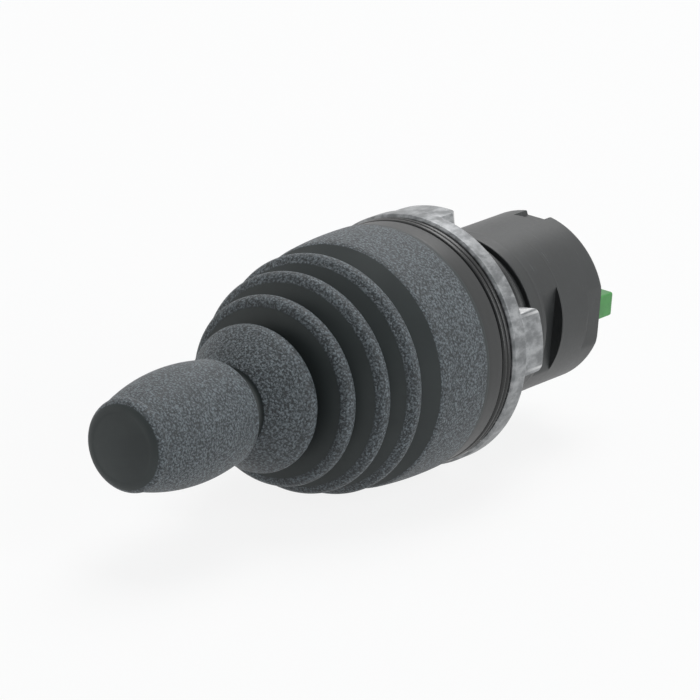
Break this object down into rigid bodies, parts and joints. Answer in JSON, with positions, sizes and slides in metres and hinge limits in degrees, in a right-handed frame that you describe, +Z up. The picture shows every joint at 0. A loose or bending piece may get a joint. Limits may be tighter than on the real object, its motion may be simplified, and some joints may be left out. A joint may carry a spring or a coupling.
{
  "type": "panel-mounted joystick head",
  "caption": "Spring-return four-way joystick head for a 22 mm panel hole, with a tapered knob, folded rubber bellows, castellated clamp nut and four switch plungers at the back.",
  "frame": {"origin": "centre of the panel seat, where the gasket meets the front of the panel", "axes": "+Z up, +Y towards the back of the panel along the head's axis, the operator and the knob at -Y, +X to the operator's right"},
  "size_m": [0.0304, 0.0859, 0.0304],
  "materials": {
    "grained_plastic": "fine moulded grain, satin",
    "brass": "machined",
    "steel": "ground",
    "natural_plastic": "moulded",
    "diecast": "zinc die cast, as cast, slightly mottled",
    "bellows_rubber": "fine grain on crests and skirt, smoother in the valleys",
    "black_plastic": "satin black glass-filled nylon",
    "gasket_rubber": "smooth black, slightly glossy",
    "green_plastic": "moulded, satin",
    "spring_steel": "drawn wire"
  },
  "bodies": {
    "head": {"housing": "black_plastic", "body_screws": "steel", "panel_gasket": "gasket_rubber", "outer_pins": "steel", "bellows": "bellows_rubber", "rear_body": "black_plastic", "rear_guide": "black_plastic", "guide_screws": "steel", "spring_right": "spring_steel", "spring_left": "spring_steel", "spring_top": "spring_steel", "spring_bottom": "spring_steel"},
    "gimbal": {"gimbal_ring": "diecast", "inner_pins": "steel"},
    "lever": {"knob": "grained_plastic", "knob_insert": "brass", "lever_shaft": "steel", "lever_spacer": "natural_plastic", "rocker": "natural_plastic", "lever_screw": "steel"},
    "nut": {"clamp_nut": "diecast"},
    "plunger_right_body": {"push_rod_right": "natural_plastic", "plunger_right": "green_plastic"},
    "plunger_left_body": {"push_rod_left": "natural_plastic", "plunger_left": "green_plastic"},
    "plunger_top_body": {"push_rod_top": "natural_plastic", "plunger_top": "green_plastic"},
    "plunger_bottom_body": {"push_rod_bottom": "natural_plastic", "plunger_bottom": "green_plastic"}
  },
  "joints": [
    {"name": "tilt_up_down", "type": "hinge", "parent": "head", "child": "gimbal", "pos_m": [0, -0.009, 0], "axis": [1, 0, 0], "range_deg": [-15, 15], "stiffness_Nm_per_rad": 0.6},
    {"name": "tilt_left_right", "type": "hinge", "parent": "gimbal", "child": "lever", "pos_m": [0, -0.009, 0], "axis": [0, 0, 1], "range_deg": [-15, 15], "stiffness_Nm_per_rad": 0.6, "deforming": ["bellows"]},
    {"name": "nut_travel", "type": "slide", "parent": "head", "child": "nut", "axis": [0, 1, 0], "range_m": [0, 0.006]},
    {"name": "plunger_right_travel", "type": "slide", "parent": "head", "child": "plunger_right_body", "axis": [0, 1, 0], "range_m": [-0.0021, 0.0021], "deforming": ["spring_right"]},
    {"name": "plunger_left_travel", "type": "slide", "parent": "head", "child": "plunger_left_body", "axis": [0, 1, 0], "range_m": [-0.0021, 0.0021], "deforming": ["spring_left"]},
    {"name": "plunger_top_travel", "type": "slide", "parent": "head", "child": "plunger_top_body", "axis": [0, 1, 0], "range_m": [-0.0018, 0.0018], "deforming": ["spring_top"]},
    {"name": "plunger_bottom_travel", "type": "slide", "parent": "head", "child": "plunger_bottom_body", "axis": [0, 1, 0], "range_m": [-0.0018, 0.0018], "deforming": ["spring_bottom"]}
  ],
  "couplings": [
    {"joint": "plunger_right_travel", "follows": "tilt_left_right", "m_per_rad": 0.00764},
    {"joint": "plunger_left_travel", "follows": "tilt_left_right", "m_per_rad": -0.00764},
    {"joint": "plunger_top_travel", "follows": "tilt_up_down", "m_per_rad": -0.00634},
    {"joint": "plunger_bottom_travel", "follows": "tilt_up_down", "m_per_rad": 0.00634}
  ]
}
